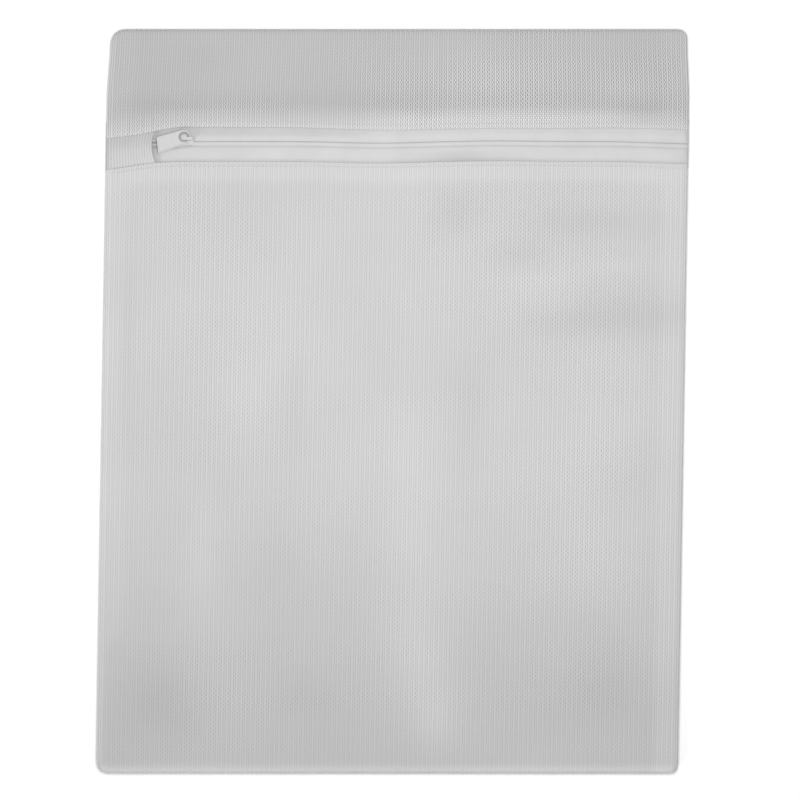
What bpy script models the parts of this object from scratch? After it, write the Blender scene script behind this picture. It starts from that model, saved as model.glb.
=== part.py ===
"""Mesh laundry bag with a hemmed zip across its front, lying flat on its back panel.

Metres, +Z up. +X runs along the zip, +Y towards the zip end of the bag. The origin is on the
floor under the middle of the bag. The slider is at the left, just outside its elastic keeper.
"""
import math

import bmesh
import bpy

# Driving dimensions of the cloth bag
BAG_WIDTH = 0.2985
BAG_LENGTH = 0.382
LOFT = 0.0066            # thickness of the empty bag as it lies
SKEW = 0.0165            # the top sits this far to the right, per metre of length
CLOTH = 0.0006
CURL = 0.003             # radius of the folded and seamed edges
JOIN_GAP = 0.0004        # gap where two cloth pieces meet edge to edge
BOTTOM_CORNER = 0.0055
TOP_CORNER = 0.006
SEAM_ALLOWANCE = 0.0104
SEAM_INSET = 0.0021      # from the bag's side to the allowance inside it
THREAD = 0.0003

# Zip, from the floor up and across the chain
ZIP_Y = 0.1333
LOWER_HEM_Y = 0.1230     # folded edge of the front panel
UPPER_HEM_Y = 0.1400     # folded edge of the top strip
HEM_DEPTH = 0.0107
HEM_Z = 0.00535
HEM_CLOTH = 0.0005
TAPE_WIDTH = 0.0128
TAPE_Z = 0.00445
TAPE_CLOTH = 0.0005
COIL_WIDTH = 0.0017
COIL_HEIGHT = 0.0015
COIL_Z = 0.00315
COIL_GAP = 0.0004        # between the two coils of the chain
POST_SPREAD = 0.0009     # how far the slider's post pushes each coil aside
ZIP_END = 0.1462         # half length of tapes and coils

# Slider and pull
SLIDER_X = -0.1082       # middle of the slider's body
SLIDER_LENGTH = 0.0120
BOTTOM_SHOULDER = 0.0044
BOTTOM_TAIL = 0.0036
TOP_PLATE_Y = 0.1343     # the slider tips a little, so its top plate sits off the zip's line
TOP_SHOULDER = 0.0036
TOP_TAIL = 0.0031
BOTTOM_PLATE = (0.00120, 0.00205)
TOP_PLATE = (0.00560, 0.00650)
POST_X = -0.1122
CROWN_Y = 0.1347
CROWN_HALF = 0.0008
CROWN_TOP = 0.0097
CROWN_WINDOW = 0.0015    # half the opening that the pull's ring passes through
PULL_AXIS = (-0.1042, 0.1349, 0.0075)
PULL_YAW = math.radians(17.5)
PULL_THICKNESS = 0.0011
EYE_RADIUS = 0.0038
EYE_HOLE = 0.0024
EYE_CENTRE = (-0.10734, 0.1355)
DOME_SIDES = 20
DOME_RINGS = ((0.00210, 0.0062), (0.00210, 0.0077), (0.00192, 0.0084), (0.00150, 0.0089),
              (0.00080, 0.0092))     # radius and height, from the plate up to the crest
PULL_TIP = 0.0143        # from the eye's centre to the straight end
PULL_TIP_HALF = 0.0042

# Elastic keeper over the closed end of the zip
KEEPER_RIGHT = -0.1226
KEEPER_LEFT = -0.1462
KEEPER_Z = (0.0056, 0.0064)

HALF_WIDTH = BAG_WIDTH / 2
HALF_LENGTH = BAG_LENGTH / 2
FRONT_Z = LOFT - CLOTH / 2
BACK_Z = CLOTH / 2
SEAM_Z = LOFT / 2


def clear_scene():
    for obj in list(bpy.data.objects):
        bpy.data.objects.remove(obj, do_unlink=True)


def material(name, colour, roughness, metallic=0.0):
    """A plain Principled finish."""
    made = bpy.data.materials.new(name)
    made.use_nodes = True
    shader = made.node_tree.nodes["Principled BSDF"]
    shader.inputs["Base Color"].default_value = (*colour, 1.0)
    shader.inputs["Roughness"].default_value = roughness
    shader.inputs["Metallic"].default_value = metallic
    return made


def add_object(name, bm, finish, pivot=(0.0, 0.0, 0.0)):
    """Turns world-space geometry into a named object whose origin is at the pivot."""
    bmesh.ops.translate(bm, verts=bm.verts, vec=[-value for value in pivot])
    bmesh.ops.recalc_face_normals(bm, faces=bm.faces)
    mesh = bpy.data.meshes.new(name)
    bm.to_mesh(mesh)
    bm.free()
    obj = bpy.data.objects.new(name, mesh)
    obj.location = pivot
    bpy.context.scene.collection.objects.link(obj)
    if finish:
        mesh.materials.append(finish)
    return obj


def helper(name, bm):
    """A guide solid for a Boolean, left out of the model."""
    obj = add_object(name, bm, None)
    obj.hide_render = True
    obj.display_type = "WIRE"
    return obj


def combine(obj, other, operation):
    modifier = obj.modifiers.new(operation.title(), "BOOLEAN")
    modifier.operation = operation
    modifier.solver = "EXACT"
    modifier.object = other


def thicken(obj, thickness):
    modifier = obj.modifiers.new("Cloth thickness", "SOLIDIFY")
    modifier.thickness = thickness
    modifier.offset = 0.0


def curl_profile(distance):
    """0 at the bag's edge, rising along a quarter circle to 1 at the curl's radius."""
    inward = min(distance, CURL) / CURL
    return math.sqrt(max(0.0, 1.0 - (1.0 - inward) ** 2))


def edge_stations(low, high, curl_low=True, curl_high=True, middle=6):
    """Grid lines from low to high, close together where an edge curls."""
    steps = (0.0, 0.08, 0.3, 0.62, 1.0)
    start = [low + CURL * step for step in steps] if curl_low else [low]
    end = [high - CURL * step for step in reversed(steps)] if curl_high else [high]
    span = end[0] - start[-1]
    inner = [start[-1] + span * index / middle for index in range(1, middle)]
    return start + inner + end


def plan_point(x, y):
    """Rounds the bag's four corners in plan and leans the whole outline."""
    radius = TOP_CORNER if y > 0 else BOTTOM_CORNER
    past_x = (abs(x) - (HALF_WIDTH - radius)) / radius
    past_y = (abs(y) - (HALF_LENGTH - radius)) / radius
    if past_x > 0 and past_y > 0:
        round_x = past_x * math.sqrt(1 - past_y ** 2 / 2)
        round_y = past_y * math.sqrt(1 - past_x ** 2 / 2)
        x = math.copysign(HALF_WIDTH - radius + radius * round_x, x)
        y = math.copysign(HALF_LENGTH - radius + radius * round_y, y)
    return x + SKEW * y, y


def cloth_sheet(name, xs, ys, flat_z, edge_z, finish, fold_low, fold_high):
    """A sheet whose sides, and whichever ends fold, curl from flat_z to edge_z."""
    bm = bmesh.new()
    bmesh.ops.create_grid(bm, x_segments=len(xs) - 1, y_segments=len(ys) - 1, size=1.0)
    for vert in bm.verts:
        x = xs[round((vert.co.x + 1) / 2 * (len(xs) - 1))]
        y = ys[round((vert.co.y + 1) / 2 * (len(ys) - 1))]
        rise = curl_profile(HALF_WIDTH - abs(x))
        if fold_low:
            rise *= curl_profile(y + HALF_LENGTH)
        if fold_high:
            rise *= curl_profile(HALF_LENGTH - y)
        plan_x, plan_y = plan_point(x, y)
        vert.co = (plan_x, plan_y, edge_z + (flat_z - edge_z) * rise)
    sheet = add_object(name, bm, finish)
    thicken(sheet, CLOTH)
    sheet.data.shade_smooth()
    return sheet


def back_panel(cloth):
    return cloth_sheet(
        "back_panel", edge_stations(-HALF_WIDTH, HALF_WIDTH),
        edge_stations(-HALF_LENGTH, HALF_LENGTH), BACK_Z, SEAM_Z - JOIN_GAP / 2, cloth, True, True)


def front_panel(cloth):
    return cloth_sheet(
        "front_panel", edge_stations(-HALF_WIDTH, HALF_WIDTH),
        edge_stations(-HALF_LENGTH, LOWER_HEM_Y, curl_high=False), FRONT_Z,
        SEAM_Z + JOIN_GAP / 2, cloth, True, False)


def top_strip(cloth):
    return cloth_sheet(
        "top_strip", edge_stations(-HALF_WIDTH, HALF_WIDTH),
        edge_stations(UPPER_HEM_Y, HALF_LENGTH, curl_low=False, middle=3), FRONT_Z,
        SEAM_Z + JOIN_GAP / 2, cloth, False, True)


def slab(low, high, lean=True):
    """A box between two corners, leaning with the bag unless told otherwise."""
    bm = bmesh.new()
    bmesh.ops.create_cube(bm, size=1.0)
    for vert in bm.verts:
        point = [low[i] + (high[i] - low[i]) * (vert.co[i] + 0.5) for i in range(3)]
        if lean:
            point[0] += SKEW * point[1]
        vert.co = point
    return bm


def flat_strip(name, x_range, y_range, z_middle, thickness, finish, soften=True):
    """A leaning strip of cloth, tape or thread with eased edges."""
    low = (x_range[0], y_range[0], z_middle - thickness / 2)
    high = (x_range[1], y_range[1], z_middle + thickness / 2)
    strip = add_object(name, slab(low, high), finish)
    if soften:
        bevel = strip.modifiers.new("Eased edges", "BEVEL")
        bevel.width = thickness * 0.22
        bevel.segments = 1
    return strip


def hems(cloth):
    """The turned-under layer of cloth along each side of the zip opening."""
    reach = HALF_WIDTH - CURL - 0.0012
    flat_strip("lower_hem", (-reach, reach), (LOWER_HEM_Y - HEM_DEPTH, LOWER_HEM_Y),
               HEM_Z, HEM_CLOTH, cloth)
    flat_strip("upper_hem", (-reach, reach), (UPPER_HEM_Y, UPPER_HEM_Y + HEM_DEPTH),
               HEM_Z, HEM_CLOTH, cloth)


def chain_stations():
    """Places along the zip where the coils and tapes are bent, from left to right."""
    around_post = [POST_X - SKEW * ZIP_Y + step for step in (-0.0058, -0.0025, 0.0025, 0.0058)]
    return [-ZIP_END] + around_post + [-0.04, 0.05, ZIP_END]


def zip_tape(name, side, finish):
    """One woven tape. side is 1 above the chain and -1 below it."""
    near = ZIP_Y + side * COIL_GAP / 2
    far = near + side * TAPE_WIDTH
    xs = chain_stations()
    bm = bmesh.new()
    bmesh.ops.create_grid(bm, x_segments=len(xs) - 1, y_segments=2, size=1.0)
    for vert in bm.verts:
        x = xs[round((vert.co.x + 1) / 2 * (len(xs) - 1))]
        blend = (vert.co.y + 1) / 2
        y = near + (far - near) * blend
        y += side * post_push(x) * (1 - blend)
        vert.co = (x + SKEW * ZIP_Y, y, TAPE_Z)
    tape = add_object(name, bm, finish)
    thicken(tape, TAPE_CLOTH)
    return tape


def post_push(x):
    """How far a coil is pushed from the chain's line by the slider's post at x."""
    from_post = abs(x + SKEW * ZIP_Y - POST_X)
    return POST_SPREAD * max(0.0, min(1.0, (0.0058 - from_post) / 0.0033))


def coil_rail(name, side, finish):
    """The outer shape of one coil, bent aside round the slider's post."""
    half_y = COIL_WIDTH / 2
    half_z = COIL_HEIGHT / 2
    ring = [(math.cos(math.radians(22.5 + 45 * k)), math.sin(math.radians(22.5 + 45 * k)))
            for k in range(8)]
    bm = bmesh.new()
    last = None
    for x in chain_stations():
        middle = ZIP_Y + side * (COIL_GAP / 2 + half_y + post_push(x))
        verts = [bm.verts.new((x + SKEW * ZIP_Y, middle + half_y * a, COIL_Z + half_z * b))
                 for a, b in ring]
        if last is None:
            bm.faces.new(verts)
        else:
            for k in range(8):
                bm.faces.new((last[k], last[k - 7], verts[k - 7], verts[k]))
        last = verts
    bm.faces.new(last)
    rail = add_object(name, bm, finish)
    rail.data.shade_smooth()
    rail.data.set_sharp_from_angle(angle=math.radians(50))
    return rail


def coil_stitch(name, side, finish):
    """The raised line of thread that sews a coil to its tape."""
    middle = ZIP_Y + side * (COIL_GAP / 2 + COIL_WIDTH / 2 + 0.0004)
    start = KEEPER_RIGHT + 0.0008
    return flat_strip(name, (start, ZIP_END), (middle - 0.00035, middle + 0.00035),
                      TAPE_Z + TAPE_CLOTH / 2 + THREAD + 0.00013, 0.00026, finish, soften=False)


def zip_stitches(thread):
    """The stitch line that holds each hem to its tape."""
    reach = HALF_WIDTH - CURL - 0.0012
    for name, y in (("zip_stitch_lower", LOWER_HEM_Y - 0.0022),
                    ("zip_stitch_upper", UPPER_HEM_Y + 0.0022)):
        flat_strip(name, (-reach, reach), (y - THREAD, y + THREAD),
                   LOFT + THREAD * 1.5, THREAD, thread, soften=False)


def outline_prism(points, z_low, z_high):
    """Extrudes a plan outline from z_low to z_high."""
    bm = bmesh.new()
    face = bm.faces.new([bm.verts.new((x, y, z_low)) for x, y in points])
    made = bmesh.ops.extrude_face_region(bm, geom=[face])
    top = [item for item in made["geom"] if isinstance(item, bmesh.types.BMVert)]
    bmesh.ops.translate(bm, verts=top, vec=(0, 0, z_high - z_low))
    bmesh.ops.recalc_face_normals(bm, faces=bm.faces)
    return bm


def slider_outline(middle_y, shoulder, tail):
    """Plan of a slider plate: wide shoulders at the left, narrow tail at the right."""
    left = SLIDER_X - SLIDER_LENGTH / 2
    right = SLIDER_X + SLIDER_LENGTH / 2
    half = [(left, 0.0018), (left + 0.0008, shoulder * 0.86), (left + 0.0024, shoulder),
            (left + 0.0042, shoulder * 0.96), (left + 0.0066, tail), (right - 0.0020, tail),
            (right - 0.0006, tail * 0.6), (right, tail * 0.4)]
    lower = [(x, middle_y - y) for x, y in half]
    upper = [(x, middle_y + y) for x, y in reversed(half)]
    return lower + upper


def crown_profile():
    """Side outline of the arm that reaches from the dome over the pull's ring, in x and z."""
    axis_x = PULL_AXIS[0]
    foot_left = axis_x - 0.0030
    foot_right = axis_x + 0.0022
    base = TOP_PLATE[1] - 0.0003
    back = [(foot_left, 0.0086), (foot_left + 0.0008, 0.0093), (foot_left + 0.0022, CROWN_TOP)]
    front = [(axis_x + 0.0007 + 0.0015 * math.sin(math.radians(a)),
              0.0080 + (CROWN_TOP - 0.0080) * math.cos(math.radians(a)))
             for a in range(0, 91, 18)]
    window = [(axis_x + CROWN_WINDOW * math.cos(math.radians(a)),
               PULL_AXIS[2] + 0.0014 * math.sin(math.radians(a)))
              for a in range(0, 181, 20)]
    outer = [(foot_left, base)] + back + front + [(foot_right, base)]
    inner = [(window[0][0], base)] + window + [(window[-1][0], base)]
    return outer + inner


def crown():
    bm = bmesh.new()
    face = bm.faces.new([bm.verts.new((x, CROWN_Y - CROWN_HALF, z)) for x, z in crown_profile()])
    made = bmesh.ops.extrude_face_region(bm, geom=[face])
    far = [item for item in made["geom"] if isinstance(item, bmesh.types.BMVert)]
    bmesh.ops.translate(bm, verts=far, vec=(0, 2 * CROWN_HALF, 0))
    bmesh.ops.recalc_face_normals(bm, faces=bm.faces)
    return bm


def dome():
    """The round boss inside the pull's eye, in rings from the plate up to its crest."""
    bm = bmesh.new()
    below = None
    for radius, z in DOME_RINGS:
        ring = [bm.verts.new((EYE_CENTRE[0] + radius * math.cos(2 * math.pi * k / DOME_SIDES),
                              EYE_CENTRE[1] + radius * math.sin(2 * math.pi * k / DOME_SIDES), z))
                for k in range(DOME_SIDES)]
        if below is None:
            bm.faces.new(ring)
        else:
            for k in range(DOME_SIDES):
                bm.faces.new([below[k - 1], below[k], ring[k], ring[k - 1]])
        below = ring
    bm.faces.new(below)
    bmesh.ops.recalc_face_normals(bm, faces=bm.faces)
    return bm


def slider_body(plastic):
    """Two plates joined by the dividing post, flanges on the lower one and, on the upper one,
    a dome with the arm that holds the pull."""
    top_plan = slider_outline(TOP_PLATE_Y, TOP_SHOULDER, TOP_TAIL)
    bottom_plan = slider_outline(ZIP_Y, BOTTOM_SHOULDER, BOTTOM_TAIL)
    body = add_object("slider_body", outline_prism(top_plan, *TOP_PLATE), plastic)
    combine(body, helper("slider_bottom", outline_prism(bottom_plan, *BOTTOM_PLATE)), "UNION")
    post = [(POST_X - 0.0018, ZIP_Y), (POST_X - 0.0004, ZIP_Y - 0.00075),
            (POST_X + 0.0020, ZIP_Y), (POST_X - 0.0004, ZIP_Y + 0.00075)]
    post_z = (BOTTOM_PLATE[1] - 0.0003, TOP_PLATE[0] + 0.0003)
    combine(body, helper("slider_post", outline_prism(post, *post_z)), "UNION")
    start = SLIDER_X - SLIDER_LENGTH / 2 + 0.0055
    end = SLIDER_X + SLIDER_LENGTH / 2 - 0.0010
    for side in (-1, 1):
        outer = ZIP_Y + side * (BOTTOM_TAIL - 0.0002)
        inner = outer - side * 0.0006
        low_y, high_y = min(outer, inner), max(outer, inner)
        flange = slab((start, low_y, BOTTOM_PLATE[1] - 0.0003), (end, high_y, 0.00385), lean=False)
        combine(body, helper(f"flange_{side}", flange), "UNION")
    combine(body, helper("slider_dome", dome()), "UNION")
    combine(body, helper("slider_crown", crown()), "UNION")
    return body


def pull_tab(plastic):
    """A flat tab with a round eye, hung on the crown. It turns about PULL_AXIS along Y."""
    eye_x, eye_y = EYE_CENTRE
    join = math.radians(100)
    outline = [(EYE_RADIUS * math.cos(-join + 2 * join * k / 16),
                EYE_RADIUS * math.sin(-join + 2 * join * k / 16)) for k in range(17)]
    outline += [(-PULL_TIP + 0.0008, PULL_TIP_HALF), (-PULL_TIP, PULL_TIP_HALF - 0.0008),
                (-PULL_TIP, -PULL_TIP_HALF + 0.0008), (-PULL_TIP + 0.0008, -PULL_TIP_HALF)]
    cos_yaw, sin_yaw = math.cos(PULL_YAW), math.sin(PULL_YAW)
    placed = [(eye_x + x * cos_yaw - y * sin_yaw, eye_y + x * sin_yaw + y * cos_yaw)
              for x, y in outline]
    z_low = PULL_AXIS[2] - PULL_THICKNESS / 2
    bm = outline_prism(placed, z_low, z_low + PULL_THICKNESS)
    tab = add_object("pull_tab", bm, plastic, pivot=PULL_AXIS)
    hole = [(eye_x + EYE_HOLE * math.cos(math.radians(a)),
             eye_y + EYE_HOLE * math.sin(math.radians(a))) for a in range(0, 360, 18)]
    combine(tab, helper("pull_eye", outline_prism(hole, z_low - 0.001, z_low + 0.002)),
            "DIFFERENCE")
    bevel = tab.modifiers.new("Moulded edge", "BEVEL")
    bevel.width = 0.00022
    bevel.segments = 1
    bevel.limit_method = "ANGLE"
    return tab


def elastic_keeper(elastic, thread):
    """Elastic over the closed end of the zip, and the stitch line that holds it."""
    margin = 0.0003
    flat_strip("elastic_keeper", (KEEPER_LEFT - SKEW * ZIP_Y, KEEPER_RIGHT - SKEW * ZIP_Y),
               (LOWER_HEM_Y + margin, UPPER_HEM_Y - margin),
               sum(KEEPER_Z) / 2, KEEPER_Z[1] - KEEPER_Z[0], elastic)
    stitch_x = KEEPER_LEFT + 0.0016 - SKEW * ZIP_Y
    flat_strip("keeper_stitch", (stitch_x - THREAD, stitch_x + THREAD),
               (LOWER_HEM_Y + 0.0008, UPPER_HEM_Y - 0.0008),
               KEEPER_Z[1] + THREAD * 1.5, THREAD, thread, soften=False)


def side_seam(label, side, cloth, thread):
    """The double cloth edge inside the bag, its joining stitch and its overlocked rim."""
    outer = side * (HALF_WIDTH - SEAM_INSET)
    inner = side * (HALF_WIDTH - SEAM_INSET - SEAM_ALLOWANCE)
    reach = HALF_LENGTH - CURL - 0.0007
    middle_z = 0.00126
    across = (min(outer, inner), max(outer, inner))
    flat_strip(f"seam_allowance_{label}", across, (-reach, reach), middle_z, 0.0007, cloth)
    stitch = side * (HALF_WIDTH - 0.0042)
    flat_strip(f"seam_stitch_{label}", (stitch - THREAD, stitch + THREAD),
               (-reach, reach), middle_z + 0.00075, 0.0002, thread, soften=False)
    rim = inner - side * (THREAD + 0.0007)
    rim_far = inner - side * THREAD
    flat_strip(f"overlock_{label}", (min(rim, rim_far), max(rim, rim_far)),
               (-reach, reach), middle_z, 0.0007, thread)


def build():
    clear_scene()
    mesh_cloth = material("Knitted mesh cloth", (0.60, 0.60, 0.60), 0.85)
    tape_cloth = material("Woven zip tape", (0.62, 0.62, 0.62), 0.8)
    nylon = material("Nylon coil", (0.66, 0.66, 0.67), 0.45)
    thread = material("Polyester thread", (0.70, 0.70, 0.70), 0.75)
    plastic = material("Moulded slider plastic", (0.66, 0.66, 0.66), 0.4)
    elastic = material("Ribbed elastic", (0.56, 0.56, 0.56), 0.85)
    back_panel(mesh_cloth)
    front_panel(mesh_cloth)
    top_strip(mesh_cloth)
    hems(mesh_cloth)
    for label, side in (("lower", -1), ("upper", 1)):
        zip_tape(f"zip_tape_{label}", side, tape_cloth)
        coil_rail(f"zip_coil_{label}", side, nylon)
        coil_stitch(f"coil_stitch_{label}", side, thread)
    zip_stitches(thread)
    slider_body(plastic)
    pull_tab(plastic)
    elastic_keeper(elastic, thread)
    for label, side in (("left", -1), ("right", 1)):
        side_seam(label, side, mesh_cloth, thread)


build()
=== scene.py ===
# %% [markdown]
# # A mesh laundry bag
# This is a flat wash bag of fine knitted mesh. It is one long cloth folded at the bottom and at
# the top, sewn up at both sides, with a zip between two hemmed edges on its front. An elastic
# keeper at the left hides the slider during a wash. The script dresses the bag's plain solids.
# The main edges are read from them, and a limp bag's small liberties are added one by one.
# Lengths are in metres, unless a comment says millimetres.

# %% Load the frame
import math

import bmesh
import bpy
from mathutils import Matrix, Vector


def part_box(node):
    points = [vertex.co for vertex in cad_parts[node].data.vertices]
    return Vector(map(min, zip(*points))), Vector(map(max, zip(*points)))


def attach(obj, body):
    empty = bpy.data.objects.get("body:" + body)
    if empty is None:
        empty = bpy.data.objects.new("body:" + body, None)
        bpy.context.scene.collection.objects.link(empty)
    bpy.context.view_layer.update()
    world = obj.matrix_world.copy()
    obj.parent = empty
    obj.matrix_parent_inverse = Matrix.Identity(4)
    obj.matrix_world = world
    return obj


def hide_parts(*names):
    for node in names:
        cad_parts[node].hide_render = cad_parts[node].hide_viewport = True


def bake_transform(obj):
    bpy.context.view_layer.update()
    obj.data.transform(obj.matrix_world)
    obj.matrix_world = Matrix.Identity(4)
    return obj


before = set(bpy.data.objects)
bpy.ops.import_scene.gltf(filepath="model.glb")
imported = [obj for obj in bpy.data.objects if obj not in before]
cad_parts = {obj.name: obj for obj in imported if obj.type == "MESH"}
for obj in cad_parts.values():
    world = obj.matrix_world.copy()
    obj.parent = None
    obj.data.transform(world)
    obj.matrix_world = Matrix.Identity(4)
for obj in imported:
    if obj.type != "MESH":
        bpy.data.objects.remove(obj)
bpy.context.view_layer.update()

# %% [markdown]
# ## Places that everything else is worked out from
# A bag is easiest to lay out from its few real edges: the two folds, the two side seams, the
# two hem edges and the line of the zip. Each is read from the solid that carries it. The droop,
# the tones and the pull's eye are plain numbers, to be set again for a bag of another size.

# %% Edges and levels
MM = 0.001
back_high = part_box("back_panel")[1]
front_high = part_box("front_panel")[1]
strip_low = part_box("top_strip")[0]
tape_low, tape_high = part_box("zip_tape_lower")
coil_low, coil_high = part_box("zip_coil_lower")
body_low, body_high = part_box("slider_body")
pull_low, pull_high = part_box("pull_tab")
keeper_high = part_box("elastic_keeper")[1]

SKEW = 0.0165                # the bag leans this far to the right for each metre up its length
CLOTH = 0.6 * MM             # thickness of one layer
HALF_LENGTH = back_high.y - CLOTH / 2
PUFF = 0.6 * MM              # the slack cloth stands this far out of its solid at each side
HALF_WIDTH = back_high.x - SKEW * HALF_LENGTH - CLOTH / 2 + PUFF
FRONT_Z = front_high.z - CLOTH / 2
BACK_Z = CLOTH / 2
SEAM_Z = front_high.z / 2
LOWER_HEM_Y = front_high.y
UPPER_HEM_Y = strip_low.y
HEM_DEPTH = 10.7 * MM        # from a hem's fold to its turned-under edge
ZIP_Y = (body_low.y + body_high.y) / 2
CURL = 3.0 * MM              # radius of the cloth's curl at the folds and side seams
print("half width and half length, mm:", round(HALF_WIDTH / MM, 2), round(HALF_LENGTH / MM, 2))
print("zip line and hem edges, mm:", [round(y / MM, 2) for y in (ZIP_Y, LOWER_HEM_Y, UPPER_HEM_Y)])

# %% [markdown]
# ## Camera, floor and light
# The bag lies flat, so it is looked at from straight above. A long lens far away keeps its
# edges parallel. The floor is white paper and the cloth is a pale grey beside it, as undyed
# mesh is. One soft lamp hangs over the zip's half of the bag, which darkens the cloth gently
# towards the bottom. A second, low lamp at the lower left rakes across the bag and picks out the
# ridges of the zip and the ribs of the elastic, and a dim sky fills the shadows.

# %% Camera
VIEW_WIDTH = 0.41096         # how much of the floor the view takes in
CAMERA_HEIGHT = 2.6
camera_data = bpy.data.cameras.new("camera")
camera_data.sensor_width = 36.0
camera_data.lens = 36.0 * CAMERA_HEIGHT / VIEW_WIDTH
camera_data.clip_end = 20.0
camera = bpy.data.objects.new("camera", camera_data)
camera.location = (3.6 * MM, 0.5 * MM, CAMERA_HEIGHT + 5 * MM)    # the bag is a little off centre
bpy.context.scene.collection.objects.link(camera)
bpy.context.scene.camera = camera
print("lens, mm:", round(camera_data.lens, 1))

# %% Floor
bm = bmesh.new()
bmesh.ops.create_grid(bm, x_segments=1, y_segments=1, size=3.0)
floor_mesh = bpy.data.meshes.new("floor")
bm.to_mesh(floor_mesh)
bm.free()
floor = bpy.data.objects.new("floor", floor_mesh)
bpy.context.scene.collection.objects.link(floor)
floor_finish = bpy.data.materials.new("white paper floor")
floor_finish.use_nodes = True
floor_shader = floor_finish.node_tree.nodes["Principled BSDF"]
floor_shader.inputs["Base Color"].default_value = (0.98, 0.98, 0.98, 1.0)
floor_shader.inputs["Roughness"].default_value = 0.9
floor_shader.inputs["Specular IOR Level"].default_value = 0.1
floor_mesh.materials.append(floor_finish)
print("floor laid")

# %% Light
def soft_lamp(name, place, target, size, power):
    lamp_data = bpy.data.lights.new(name, "AREA")
    lamp_data.shape = "DISK"
    lamp_data.size = size
    lamp_data.energy = power
    lamp = bpy.data.objects.new(name, lamp_data)
    lamp.location = place
    lamp.rotation_euler = (Vector(target) - Vector(place)).to_track_quat("-Z", "Y").to_euler()
    lamp.visible_camera = False
    bpy.context.scene.collection.objects.link(lamp)


soft_lamp("overhead lamp", (0.01, 0.09, 0.72), (0.01, 0.07, 0.0), 0.34, 4.3)
soft_lamp("raking lamp", (-1.2, -1.3, 0.95), (0.0, 0.0, 0.0), 0.7, 8.0)
world = bpy.data.worlds.new("studio sky")
world.use_nodes = True
world.node_tree.nodes["Background"].inputs["Color"].default_value = (1.0, 1.0, 1.0, 1.0)
world.node_tree.nodes["Background"].inputs["Strength"].default_value = 0.39
bpy.context.scene.world = world
bpy.context.scene.view_settings.view_transform = "Standard"
print("two lamps and a sky")

# %% [markdown]
# ## Knitted mesh
# The cloth is warp-knitted: columns of loops zigzag up the cloth side by side, and each column
# touches the next only where the zigzag turns, which leaves a small slanting hole between. To
# model a hundred thousand holes would be slow, so a shader cuts them out through Alpha and rounds
# the yarn with a bump. The pattern reads the cloth's own UV map, which is laid out in metres,
# so it stays the same size on every piece and goes with the cloth when it bends.

# %% Node helpers
def new_group(name, inputs, outputs):
    """A shader node group with float or vector sockets, and its two end nodes."""
    group = bpy.data.node_groups.new(name, "ShaderNodeTree")
    for label, kind, default in inputs:
        socket = group.interface.new_socket(label, in_out="INPUT", socket_type=kind)
        if default is not None:
            socket.default_value = default
    for label, kind in outputs:
        group.interface.new_socket(label, in_out="OUTPUT", socket_type=kind)
    start = group.nodes.new("NodeGroupInput")
    end = group.nodes.new("NodeGroupOutput")
    return group, start, end


def feed(tree, value, socket):
    """Gives a socket its value: a plain number, or a link from another socket."""
    if isinstance(value, (int, float)):
        socket.default_value = value
    else:
        tree.links.new(value, socket)


def math_node(tree, operation, *values):
    """One math node. Its values may be sockets or plain numbers."""
    node = tree.nodes.new("ShaderNodeMath")
    node.operation = operation
    for index, value in enumerate(values):
        feed(tree, value, node.inputs[index])
    return node.outputs[0]


def soft_edge(tree, value, low, high):
    """0 below low, 1 above high and a smooth ramp between."""
    node = tree.nodes.new("ShaderNodeMapRange")
    node.interpolation_type = "SMOOTHSTEP"
    feed(tree, value, node.inputs["Value"])
    feed(tree, low, node.inputs["From Min"])
    feed(tree, high, node.inputs["From Max"])
    return node.outputs["Result"]


print("node helpers ready")

# %% The mesh pattern
WALE_PITCH = 1.23 * MM       # from one column of loops to the next
ZIGZAG_PERIOD = 2.14 * MM    # one full left and right turn of a column
HOLE_SOFTNESS = 0.05         # half the width of a hole's soft rim, as a share of a wale

mesh_group, start, end = new_group(
    "knitted mesh",
    [("Cloth place", "NodeSocketVector", None), ("Hole size", "NodeSocketFloat", 0.27)],
    [("Yarn", "NodeSocketFloat"), ("Height", "NodeSocketFloat")])
split = mesh_group.nodes.new("ShaderNodeSeparateXYZ")
mesh_group.links.new(start.outputs["Cloth place"], split.inputs[0])
across = math_node(mesh_group, "DIVIDE", split.outputs["X"], WALE_PITCH)
along = math_node(mesh_group, "DIVIDE", split.outputs["Y"], ZIGZAG_PERIOD)
swing = math_node(mesh_group, "PINGPONG", along, 0.5)
leaned = math_node(mesh_group, "ADD", across, math_node(mesh_group, "MULTIPLY", swing, 1.1))
from_gap = math_node(mesh_group, "ABSOLUTE", math_node(
    mesh_group, "SUBTRACT", math_node(mesh_group, "FRACT", leaned), 0.5))
stagger = math_node(mesh_group, "MULTIPLY", math_node(
    mesh_group, "MODULO", math_node(mesh_group, "FLOOR", leaned), 2.0), 0.5)
turn = math_node(mesh_group, "FRACT", math_node(mesh_group, "ADD", along, stagger))
from_middle = math_node(mesh_group, "MULTIPLY", math_node(
    mesh_group, "ABSOLUTE", math_node(mesh_group, "SUBTRACT", turn, 0.5)), 2.0)
narrowing = math_node(mesh_group, "MULTIPLY", math_node(
    mesh_group, "POWER", from_middle, 6.0), 0.3)
edge = math_node(mesh_group, "ADD", from_gap, narrowing)
rim_from = math_node(mesh_group, "SUBTRACT", start.outputs["Hole size"], HOLE_SOFTNESS)
rim_to = math_node(mesh_group, "ADD", start.outputs["Hole size"], HOLE_SOFTNESS)
mesh_group.links.new(soft_edge(mesh_group, edge, rim_from, rim_to), end.inputs["Yarn"])
mesh_group.links.new(soft_edge(mesh_group, edge, 0.2, 0.5), end.inputs["Height"])
print("mesh pattern:", len(mesh_group.nodes), "nodes")
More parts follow.
